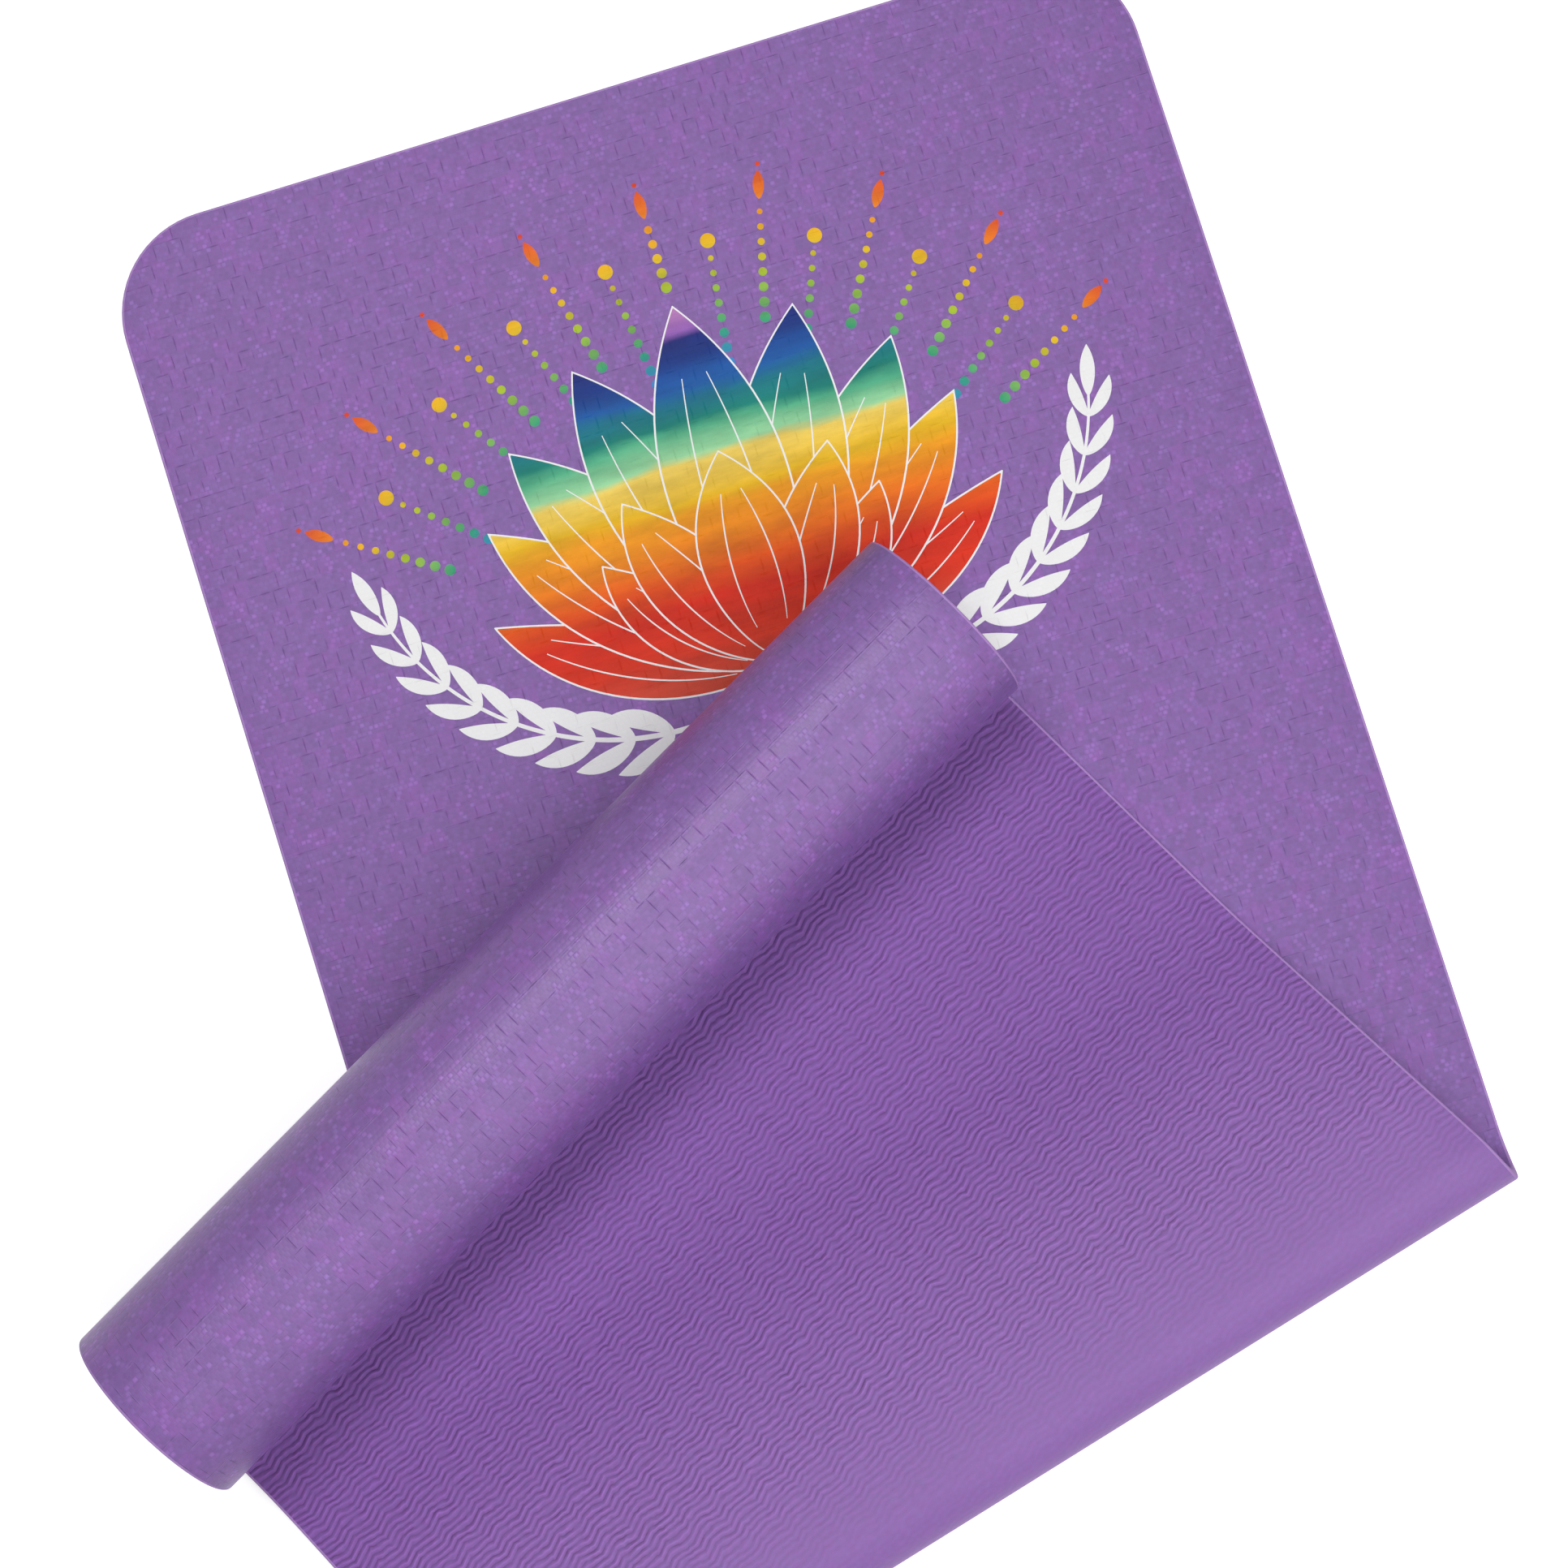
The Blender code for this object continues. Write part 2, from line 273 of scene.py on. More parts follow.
def cells(tree, across, along, wide, long):
    """Staggered cells: how far along and across its cell a point is, from 0 to 1, and the cell's luck."""
    rank = sums(tree, "DIVIDE", along, long)
    stagger = sums(tree, "MULTIPLY", sums(tree, "FLOORED_MODULO", sums(tree, "FLOOR", rank), 2), 0.5)
    column = sums(tree, "ADD", sums(tree, "DIVIDE", across, wide), stagger)
    number = add(tree, "CombineXYZ", {"X": sums(tree, "FLOOR", rank), "Y": sums(tree, "FLOOR", column)})
    luck = add(tree, "TexWhiteNoise", {"Vector": number}, noise_dimensions="3D")
    return sums(tree, "FRACT", rank), sums(tree, "FRACT", column), luck


def hump(tree, part):
    """A swell over a cell, from how far across it a point is: 4 p (1 - p)."""
    return sums(tree, "MULTIPLY", sums(tree, "MULTIPLY", part, sums(tree, "SUBTRACT", 1, part)), 4)


def stroke(tree, part, other, shown):
    """A line pressed in along a cell's side with a raised one beside it, faded to its ends.

    Across it is sin(pi p / w), up to p = 2 w. In the colour it is painted shade in the pressed line and a
    painted highlight on the raised one.
    """
    turn = sums(tree, "MULTIPLY", sums(tree, "MINIMUM", sums(tree, "DIVIDE", part, STROKE), 2), math.pi)
    return sums(tree, "MULTIPLY", sums(tree, "MULTIPLY", sums(tree, "SINE", turn), shown), hump(tree, other))


rank, column, pillow_luck = cells(weave, place["X"], place["Y"], PILLOW_ACROSS, PILLOW_ALONG)
swell = sums(weave, "MULTIPLY", hump(weave, rank), hump(weave, column))
swell = sums(weave, "POWER", swell, SWELL_POWER)
breaks = add(weave, "TexNoise", {"Vector": given.outputs["Place"], "Scale": GROUP_SCALE, "Detail": 1})
groups = ease(weave, breaks, GROUP_LOW, GROUP_HIGH)
glinting = sums(weave, "MULTIPLY", sums(weave, "POWER", pillow_luck, LUCK_POWER), groups)
level = sums(weave, "SUBTRACT", pillow_luck, 0.5)

rank, column, tile_luck = cells(weave, place["X"], place["Y"], TILE_ACROSS, TILE_ALONG)
low_side = stroke(weave, rank, column, sums(weave, "LESS_THAN", tile_luck, LOW_BELOW))
left_side = stroke(weave, column, rank, sums(weave, "GREATER_THAN", tile_luck, LEFT_ABOVE))
strokes = sums(weave, "ADD", low_side, left_side)
strokes = sums(weave, "MULTIPLY", strokes, sums(weave, "SUBTRACT", STROKE_MOST, groups))

height = sums(weave, "MULTIPLY_ADD", glinting, BRIGHT_HEIGHT, SWELL_HEIGHT)
height = sums(weave, "MULTIPLY", swell, height)
height = sums(weave, "MULTIPLY_ADD", tile_luck, TILE_HEIGHT, height)
height = sums(weave, "MULTIPLY_ADD", strokes, STROKE_HEIGHT, height)
weave.links.new(height, result.inputs["Height"])

# Painted glint: the tops of the pillows that stand out are painted lighter.
shade = sums(weave, "MULTIPLY_ADD", sums(weave, "MULTIPLY", glinting, swell), GLINT_PAINTED_LIGHT, GROUND_SHADE)
shade = sums(weave, "MULTIPLY_ADD", sums(weave, "MULTIPLY", level, swell), LEVEL_SHADE, shade)
# Painted shade in each stroke's pressed line and a painted highlight on its raised line.
shade = sums(weave, "MULTIPLY_ADD", strokes, STROKE_PAINTED_LIGHT, shade)
shade = sums(weave, "MULTIPLY_ADD", sums(weave, "SUBTRACT", tile_luck, 0.5), TILE_SHADE, shade)
weave.links.new(shade, result.inputs["Shade"])

patches = add(weave, "TexNoise", {"Vector": given.outputs["Place"], "Scale": PATCH_SCALE, "Detail": 2})
chance = sums(weave, "SUBTRACT", tile_luck, PATCH_SHIFT)
chance = sums(weave, "MULTIPLY_ADD", patches, PATCH_GAIN, chance)
weave.links.new(ease(weave, chance, PATCH_LOW, PATCH_HIGH), result.inputs["Tint"])

# The top layer's foam: purple, matt, embossed with the weave. The edges are cut foam without a skin, a
# little lighter, and both layers show them.
TOP_PURPLE = (0.226, 0.114, 0.366, 1)
TOP_PINKER = (0.240, 0.108, 0.376, 1)
CUT_PURPLE = (0.430, 0.250, 0.590)
WOVEN_RELIEF, CUT_RELIEF = 0.00018, 0.00015
PORE_SHARE = 0.12
MATT, SHINY = 0.60, 0.40
SHINE_REACH = 0.06                      # how far into the roll the change to the shine goes


def on_sheet(tree):
    """Where the shaded point is on the sheet, from the piece's own attribute."""
    node = tree.nodes.new("ShaderNodeAttribute")
    node.attribute_name = "sheet"
    return node.outputs["Vector"]


def mixed(tree, share, first, second):
    """A colour between two."""
    return add(tree, "Mix", {0: share, 6: first, 7: second}, data_type="RGBA")


def shaded(tree, colour, *shades):
    """A colour times its shades."""
    for shade in shades:
        colour = add(tree, "VectorMath", {0: colour, "Scale": shade}, operation="SCALE")
    return colour


def clouded(tree, colour, grain):
    """A foam's colour times the grain's hue and shade."""
    colour = add(tree, "VectorMath", {0: colour, 1: grain.outputs["Hue"]}, operation="MULTIPLY")
    return shaded(tree, colour, grain.outputs["Shade"])


def bumped(tree, shader, height, depth):
    """Gives the shader the bump of a height from 0 to 1 over this depth."""
    bump = add(tree, "Bump", {"Height": height, "Distance": depth, "Strength": 1})
    tree.links.new(bump, shader.inputs["Normal"])


# From the fold to the roll the skin goes from matt to a slight shine.
woven_foam, tree, shader = new_material("woven_foam", roughness=MATT, specular=0.40)
place = on_sheet(tree)
grain = use_group(tree, foam_grain, {"Place": place})
emboss = use_group(tree, weave, {"Place": place})
colour = mixed(tree, emboss.outputs["Tint"], TOP_PURPLE, TOP_PINKER)
# The weave's shade darkens and lightens the colour: painted glints, and painted shade and highlights along
# its strokes.
colour = shaded(tree, clouded(tree, colour, grain), emboss.outputs["Shade"])
tree.links.new(colour, shader.inputs["Base Color"])
height = sums(tree, "MULTIPLY_ADD", grain.outputs["Height"], PORE_SHARE, emboss.outputs["Height"])
bumped(tree, shader, height, WOVEN_RELIEF)
shine = ease(tree, split(tree, place)["Y"], FLAT, FLAT + FLAP + SHINE_REACH, MATT, SHINY)
tree.links.new(shine, shader.inputs["Roughness"])

cut_foam, tree, shader = new_material("cut_foam", roughness=0.75, specular=0.30)
grain = use_group(tree, foam_grain, {"Place": on_sheet(tree)})
tree.links.new(clouded(tree, CUT_PURPLE, grain), shader.inputs["Base Color"])
bumped(tree, shader, grain.outputs["Height"], CUT_RELIEF)

# The bottom layer's foam: the same purple, embossed with ribs across the mat that run in waves, one
# flank long and one steep, to grip the floor. Their crests are painted lighter and the hollows between
# them darker: painted highlight and painted shade. Stretched round the fold, they flatten and fade. The
# ribbed part takes a darker copy of the purple, a painted shade, and the smooth part near the fold a
# lighter copy, a painted sheen, lighter still along the bend's outer edge, a painted light.
RIB_PITCH = 0.00395
WAVE_LENGTH = 0.0200
WAVE_DEPTH = 0.0024
LONG_FLANK = 0.68
RIB_RELIEF = 0.00050
RIB_PORE_SHARE = 0.05
RIDGE_POWER = 1.3                       # the shape of a rib's cross-section
TONE_POWER = 5                          # how narrow the light line of a crest and the dark one between are
WAVE_ROUND = 0.2
# Painted highlight on the ribs' crests and painted shade in the hollows between them.
CREST_PAINTED_HIGHLIGHT, VALLEY_PAINTED_SHADE = 0.32, -0.30
WANDER_SCALE, WANDER_SIDEWAYS, WANDER_ALONG = 90, 0.6, 0.9
WORN_SCALE, WORN_GAIN, WORN_SHIFT = 120, 2.6, -0.3
STRETCHED_DEPTH = 0.10                  # what is left of the ribs where the foam is stretched most
BEFORE_START, BEFORE_END = -0.03, 0.01  # distances past the fold line
FADE_START, FADE_END = 0.070, 0.150
LIGHT_START, LIGHT_END = 0.110, 0.250
# Along the bend's outer edge the colour is painted lighter still, a painted light where the bend turns away
# from the lamps.
FOLD_LIGHT_START, FOLD_LIGHT_END = 0.044, 0.078
FOLD_PAINTED_LIGHT = 1.10
SMOOTH_ROUGHNESS, RIB_ROUGHNESS = 0.48, 0.66
# A shaded and a lit copy of the same purple: the ribbed part painted darker, a painted shade, and the smooth
# part near the fold painted lighter, a painted sheen.
RIB_SHADED_PURPLE = (0.212, 0.090, 0.350, 1)
SMOOTH_SHEEN_PURPLE = (0.258, 0.126, 0.402, 1)

ribbed_foam, tree, shader = new_material("ribbed_foam", roughness=RIB_ROUGHNESS, specular=0.28)
place = on_sheet(tree)
grain = use_group(tree, foam_grain, {"Place": place})
wander = add(tree, "TexNoise", {"Vector": place, "Scale": WANDER_SCALE, "Detail": 2})
worn = add(tree, "TexNoise", {"Vector": place, "Scale": WORN_SCALE, "Detail": 2})
parts = split(tree, place)
sway = sums(tree, "DIVIDE", parts["X"], WAVE_LENGTH)
sway = sums(tree, "MULTIPLY_ADD", wander, WANDER_SIDEWAYS, sway)
flank = sums(tree, "FRACT", sway)
falling = sums(tree, "DIVIDE", flank, LONG_FLANK)
rising = sums(tree, "DIVIDE", sums(tree, "SUBTRACT", 1, flank), 1 - LONG_FLANK)
wave = sums(tree, "SMOOTH_MIN", falling, rising, WAVE_ROUND)
ribs = sums(tree, "DIVIDE", parts["Y"], RIB_PITCH)
ribs = sums(tree, "MULTIPLY_ADD", wave, WAVE_DEPTH / RIB_PITCH, ribs)
ribs = sums(tree, "MULTIPLY_ADD", wander, WANDER_ALONG, ribs)
slope = sums(tree, "ABSOLUTE", sums(tree, "MULTIPLY_ADD", sums(tree, "FRACT", ribs), 2, -1))
ridge = sums(tree, "SUBTRACT", 1, sums(tree, "POWER", slope, RIDGE_POWER))
past = sums(tree, "MULTIPLY", sums(tree, "SUBTRACT", parts["Y"], FLAT), math.cos(SLANT))
past = sums(tree, "MULTIPLY_ADD", parts["X"], math.sin(SLANT), past)
before = ease(tree, past, BEFORE_START, BEFORE_END, 1, 0)
relief = sums(tree, "MAXIMUM", ease(tree, past, FADE_START, FADE_END), before)
depth = sums(tree, "MULTIPLY_ADD", relief, 1 - STRETCHED_DEPTH, STRETCHED_DEPTH)
depth = sums(tree, "MULTIPLY", depth, sums(tree, "MULTIPLY_ADD", worn, WORN_GAIN, WORN_SHIFT))
raised = sums(tree, "MULTIPLY", ridge, depth)
# The ribs' painted light: crests lighter and hollows darker, as deep as the ribs are.
crest = sums(tree, "MULTIPLY", sums(tree, "POWER", ridge, TONE_POWER), depth)
valley = sums(tree, "MULTIPLY", sums(tree, "POWER", slope, TONE_POWER), depth)
rib_painted_light = sums(tree, "MULTIPLY_ADD", valley, VALLEY_PAINTED_SHADE, 1.0)
rib_painted_light = sums(tree, "MULTIPLY_ADD", crest, CREST_PAINTED_HIGHLIGHT, rib_painted_light)
far = ease(tree, past, LIGHT_START, LIGHT_END)
# Painted sheen near the fold, painted shade where the ribs are.
colour = mixed(tree, sums(tree, "MAXIMUM", far, before), SMOOTH_SHEEN_PURPLE, RIB_SHADED_PURPLE)
# Painted light: the colour is made lighter along the bend's outer edge.
stretched = ease(tree, past, FOLD_LIGHT_START, FOLD_LIGHT_END, FOLD_PAINTED_LIGHT, 1)
tree.links.new(shaded(tree, clouded(tree, colour, grain), rib_painted_light, stretched), shader.inputs["Base Color"])
height = sums(tree, "MULTIPLY_ADD", grain.outputs["Height"], RIB_PORE_SHARE, raised)
bumped(tree, shader, height, RIB_RELIEF)
rough = sums(tree, "MULTIPLY_ADD", relief, RIB_ROUGHNESS - SMOOTH_ROUGHNESS, SMOOTH_ROUGHNESS)
tree.links.new(rough, shader.inputs["Roughness"])

# The pieces of both layers. Foam bends anywhere, so each piece is a stretch of one layer from the middle of
# one strip of the solids to the middle of the next.
# Seen from its end it is a flat ring, rounded where the die pressed the faces over the cut.
COLUMNS = 24
ROUND_STEPS = 4
SHARPEST = math.radians(40)
FACE_ROUND = 0.0015
BOND_ROUND = 0.00012
SEAM = 0.0001


def edge_profile(low, high, low_round, high_round):
    """A layer's side edge, from its lower face up: a quarter round, the wall and a quarter round.

    Gives each step's inset r (1 - sin t) and height r (1 - cos t), for t from 0 to 90 degrees.
    """
    turn = np.linspace(0, math.pi / 2, ROUND_STEPS)
    inset = np.concatenate([low_round * (1 - np.sin(turn)), high_round * (1 - np.cos(turn))])
    height = np.concatenate([low + low_round * (1 - np.cos(turn)), high - high_round * (1 - np.sin(turn))])
    return inset, height


BOTTOM_EDGE = edge_profile(0, BOND, FACE_ROUND, BOND_ROUND)
TOP_EDGE = edge_profile(BOND, THICKNESS, BOND_ROUND, FACE_ROUND)


def slanted_rows(past, inset):
    """Rows along the fold: half width, and how far along the sheet their left and right ends are."""
    half = np.broadcast_to(WIDTH / 2 - inset, (len(past), len(inset)))
    middle = FLAT + past[:, None] / math.cos(SLANT)
    return half, middle + half * math.tan(SLANT), middle - half * math.tan(SLANT)


def square_rows(along, inset):
    """Rows straight across the sheet: half width, and how far along both ends are.

    In the foot's corners the half width falls off as the root of radius squared less distance squared.
    """
    into = np.maximum(along[:, None] - (LENGTH - CORNER), 0)
    half = WIDTH / 2 - CORNER + np.sqrt((CORNER - inset) ** 2 - into ** 2)
    ends = np.broadcast_to(along[:, None], half.shape)
    return half, ends, ends


def corner_rows(turn, inset, foot=False):
    """Rows round both corners of an end: each end turns about the corner's centre, less the inset."""
    radius = CORNER - inset
    half = WIDTH / 2 - CORNER + radius * np.sin(turn)[:, None]
    ends = CORNER - radius * np.cos(turn)[:, None]
    ends = LENGTH - ends if foot else ends
    return half, ends, ends


def joined(*rows):
    """Several sets of rows as one."""
    return [np.concatenate(part) for part in zip(*rows)]


def spaced(start, end, step):
    """Distances about a step apart, with one close to each end, so that shading meets the next piece's."""
    inner = np.linspace(start, end, max(3, round((end - start) / step) + 1))[1:-1]
    return np.concatenate([[start, start + SEAM], inner, [end - SEAM, end]])


def note_sheet(mesh, points):
    """Gives a mesh the attribute that the foam's materials read: each point's place on the sheet."""
    values = points.astype(np.float32).ravel()
    mesh.attributes.new("sheet", "FLOAT_VECTOR", "POINT").data.foreach_set("vector", values)


def make_foam(name, rows, edge, face, face_is_top, head=False, foot=False):
    """One piece of a layer: rings round the sheet's cross-section, one for each row.

    A ring runs along the lower face, up the right edge, back along the upper face and down the left
    edge. An end inside the sheet is closed flat. A head or foot end is closed by the edge's profile,
    carried straight across.
    """
    inset, height = edge
    half, left, right = rows
    share = np.linspace(0, 1, COLUMNS + 1)
    last = len(inset) - 1

    def line(step, shares):
        """Points across the sheet between both ends of the rows, at one step of the profile."""
        across = half[:, step, None] * (2 * shares - 1)
        along = left[:, step, None] * (1 - shares) + right[:, step, None] * shares
        return np.stack([across, along, np.full(across.shape, height[step])], -1)

    walls = [np.concatenate([line(step, np.array([side])) for step in range(1, last)], 1) for side in (0, 1)]
    ring = np.concatenate([line(0, share), walls[1], line(last, share[::-1]), walls[0][:, ::-1]], 1)
    count, size = ring.shape[:2]
    index = np.arange(count * size).reshape(count, size)
    following = np.roll(index, -1, 1)
    quads = np.stack([index[:-1], following[:-1], following[1:], index[1:]], -1).reshape(-1, 4)
    segment = np.arange(size)
    on_top = (segment >= COLUMNS + last) & (segment < 2 * COLUMNS + last)
    on_face = on_top if face_is_top else segment < COLUMNS
    slots = np.tile(np.where(on_face, 0, 1), count - 1)
    points = [ring.reshape(-1, 3)]
    faces = quads.tolist()
    for row, is_outline in ((0, head), (count - 1, foot)):
        order = index[row] if row else index[row][::-1]
        if not is_outline:
            faces.append(order.tolist())
            continue
        first = sum(len(part) for part in points)
        inner = np.stack([line(step, share[1:-1])[row] for step in range(1, last)])
        points.append(inner.reshape(-1, 3))
        wall = np.empty((last + 1, COLUMNS + 1), int)
        wall[0] = index[row, :COLUMNS + 1]
        wall[last] = index[row, COLUMNS + last:2 * COLUMNS + last + 1][::-1]
        wall[1:last, COLUMNS] = index[row, COLUMNS + 1:COLUMNS + last]
        wall[1:last, 0] = index[row, 2 * COLUMNS + last + 1:][::-1]
        wall[1:last, 1:-1] = first + np.arange(inner.shape[0] * inner.shape[1]).reshape(inner.shape[:2])
        corners = [wall[:-1, :-1], wall[1:, :-1], wall[1:, 1:], wall[:-1, 1:]]
        corners = corners if row == 0 else corners[::-1]
        faces += np.stack(corners, -1).reshape(-1, 4).tolist()
    slots = np.concatenate([slots, np.ones(len(faces) - len(slots), int)])
    points = np.concatenate(points)
    mesh = bpy.data.meshes.new(name)
    mesh.from_pydata(lay(*points.T), [], faces)
    mesh.polygons.foreach_set("material_index", slots.astype(np.int32))
    note_sheet(mesh, points)
    mesh.materials.append(face)
    mesh.materials.append(cut_foam)
    mesh.shade_smooth()
    mesh.set_sharp_from_angle(angle=SHARPEST)
    piece = bpy.data.objects.new(name, mesh)
    bpy.context.scene.collection.objects.link(piece)
    return piece


# The flat part, the fold and the flap. The hinges of the solids lie at these distances past the fold
# line, each named for the body after it, and the pieces part at the distances between them.
FOLD_STEP = 0.0013
BEND_STRIPS = 5
REACH = 0.012
LEAD = 0.02
HEAD_STEPS = 17
HEAD_ROWS = (0.15, 0.30, 0.45, 0.60)
landing_part = LANDING_RADIUS * OVERTURN / 4
fold_hinges = [BEND_END * step / BEND_STRIPS for step in range(BEND_STRIPS + 1)]
fold_hinges += [LANDING_START + landing_part, LANDING_END - landing_part]
fold_bodies = ["flat"] + [f"bend_{number + 1}" for number in range(BEND_STRIPS)] + ["ramp", "landing", "flap"]
fold_seams = [(here + there) / 2 for here, there in zip(fold_hinges, fold_hinges[1:])]
fold_seams = [None, *fold_seams, LANDING_END]


for number, hinge in enumerate(fold_hinges):
    before, after = fold_bodies[number:number + 2]
    start, end = fold_seams[number:number + 2]
    for layer, edge, face, slot in (("ribbed", BOTTOM_EDGE, ribbed_foam, "bottom_foam"),
                                    ("woven", TOP_EDGE, woven_foam, "top_foam")):
        inset = edge[0]
        if number == 0:
            turns = np.linspace(0, math.pi / 2, HEAD_STEPS)
            head_end = joined(corner_rows(turns, inset), square_rows(np.array(HEAD_ROWS), inset))
            rows = joined(head_end, slanted_rows(spaced(-LEAD, end, FOLD_STEP), inset))
        else:
            rows = slanted_rows(spaced(start, end, FOLD_STEP), inset)
        piece = make_foam(f"{layer}_{after}", rows, edge, face, layer == "woven", head=number == 0)
        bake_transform(piece)
        node = "bottom_layer" if layer == "ribbed" else "top_layer"
        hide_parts(f"{node}_{after}", *[f"{node}_flat"] * (number == 0))

# The roll. Its top face is outside. The ribbed layer bends from strip to strip as above. The woven
# layer is the skin that shows: one stretch of it on each strip.
ROLL_STEP = 0.0018
STRIP_TURN = math.radians(34.5)
ROLL_STRIPS = 20


def wound(turn):
    """The length that is wound up after an angle a: s = R a - c a^2 / 2."""
    return FIRST_RADIUS * turn - CORE * turn ** 2 / 2


def roll_point(turn, height):
    """A point on the roll, on the centre line of the flap."""
    return lay(np.array(0.0), np.array(FLAT + FLAP + wound(turn)), np.array(height))


roll_turns = [number * STRIP_TURN for number in range(ROLL_STRIPS)] + [roll_angle(ROLLED)]
roll_middles = [(here + there) / 2 for here, there in zip(roll_turns, roll_turns[1:])]
CORNER_SHARE, CORNER_NEXT = 0.75, 0.78
CORNER_STEPS = 10


def roll_rows(start, stop, inset):
    """Rows along a stretch of the roll.

    At the foot they go straight across up to a share of the corners' radius, and then turn round it.
    """
    if stop < LENGTH:
        return square_rows(spaced(start, stop, ROLL_STEP), inset)
    along = spaced(start, LENGTH - CORNER * (1 - CORNER_SHARE), ROLL_STEP)
    turns = np.linspace(math.acos(CORNER_NEXT), 0, CORNER_STEPS)
    return joined(square_rows(along, inset), corner_rows(turns, inset, foot=True))


# The top layer's straight end, between the landing and the roll's first strip
inset = TOP_EDGE[0]
rows = joined(slanted_rows(np.array([LANDING_END]), inset), square_rows(np.array([FLAT + FLAP]), inset))
flap_skin = make_foam("woven_flap_face", rows, TOP_EDGE, woven_foam, True)
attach(flap_skin, "flap")

for number in range(ROLL_STRIPS):
    body = f"roll_{number + 1:02d}"
    before = "flap" if number == 0 else f"roll_{number:02d}"
    is_last = number == ROLL_STRIPS - 1
    inset = BOTTOM_EDGE[0]
    stop = LENGTH if is_last else FLAT + FLAP + wound(roll_middles[number])
    if number == 0:
        start = FLAT + FLAP - REACH
        rows = joined(slanted_rows(np.array([LANDING_END]), inset), roll_rows(start, stop, inset))
    else:
        start = FLAT + FLAP + wound(roll_middles[number - 1])
        rows = roll_rows(start, stop, inset)
    piece = make_foam(f"ribbed_{body}", rows, BOTTOM_EDGE, ribbed_foam, False, foot=is_last)
    first = lay(np.array(0.0), np.array(start), np.array(0.0))
    roll_point(roll_middles[number], 0)
    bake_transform(piece)
    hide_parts(f"bottom_layer_{body}")

    inset = TOP_EDGE[0]
    start, stop = (FLAT + FLAP + wound(turn) for turn in roll_turns[number:number + 2])
    stop = LENGTH if is_last else stop
    skin = make_foam(f"woven_{body}", roll_rows(start, stop, inset), TOP_EDGE, woven_foam, True, foot=is_last)
    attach(skin, body)
    ends = [roll_point(turn, THICKNESS) for turn in roll_turns[number:number + 2]]
    chord = (ends[1] - ends[0]) / np.linalg.norm(ends[1] - ends[0])
    outward = np.cross(chord, ACROSS_FLAP)
    middle = roll_point(roll_middles[number], THICKNESS)
    outward *= np.sign((middle - ends[0]) @ outward)
    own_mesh(skin)
    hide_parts(f"top_layer_{body}")

# The print on the top face: an opened lotus in bands of watercolour under a burst of dots, with a
# white sprig to each side. The ink is thin and flexible, and the emboss shows through it. Every mark
# is a film a few hundredths of a millimetre thick that starts inside the foam's skin.
FILM = 0.0001
LEVEL = 0.000008
OUTLINE = 0.0011
LOTUS_FOOT = np.array([0.0, 0.052])
PETAL_WIDEST = 0.627
PETAL_START, PETAL_END, PETAL_SEARCH = 0.002, 0.999, 400
LEAST_HALF, LEAST_TURN = 0.0001, 1e-6


def petal_width(share):
    """Half of a petal's width over its greatest, at a share s of its length: s^0.6 (1 - s^2.2) / 0.627."""
    return share ** 0.6 * (1 - share ** 2.2) / PETAL_WIDEST


def arc(foot, lean, turn, length, share):
    """Points and headings of an arc that leaves its foot at an angle from upright and turns on the way.

    The heading is h = lean + turn s, and the point is the integral of (sin h, cos h) over the length.
    """
    turn = turn if abs(turn) > LEAST_TURN else LEAST_TURN
    heading = lean + turn * share
    across = (math.cos(lean) - np.cos(heading)) * length / turn
    up = (np.sin(heading) - math.sin(lean)) * length / turn
    return foot + np.stack([across, up], -1), heading


def petal(foot, lean, turn, length, width, inset=0.0, steps=40, columns=8):
    """A petal as a grid: across its curved axis at each step, w = width / 2 times petal_width(s) - inset."""
    fine = np.linspace(PETAL_START, PETAL_END, PETAL_SEARCH)
    wide = fine[petal_width(fine) * width / 2 > inset + LEAST_HALF]
    share = wide[0] + (wide[-1] - wide[0]) * (1 - np.cos(np.linspace(0, math.pi, steps))) / 2
    middle, heading = arc(foot, lean, turn, length, share)
    half = petal_width(share) * width / 2 - inset
    side = np.stack([np.cos(heading), -np.sin(heading)], -1) * half[:, None]
    return middle[:, None] + side[:, None] * np.linspace(-1, 1, columns)[:, None]


def ribbon(middle, width):
    """A line as a grid of two columns, half its width to each side of a path."""
    along = np.gradient(middle, axis=0)
    along /= np.linalg.norm(along, axis=1)[:, None]
    side = np.stack([along[:, 1], -along[:, 0]], -1) * (np.broadcast_to(width, len(middle)) / 2)[:, None]
    return np.stack([middle - side, middle + side], 1)


def dot(centre, radius):
    """A dot as a grid: a square drawn out to a disc by x = u sqrt(1 - v^2 / 2), y = v sqrt(1 - u^2 / 2)."""
    u, v = np.meshgrid(np.linspace(-1, 1, 7), np.linspace(-1, 1, 7))
    disc = np.stack([u * np.sqrt(1 - v ** 2 / 2), v * np.sqrt(1 - u ** 2 / 2)], -1)
    return centre + disc * radius


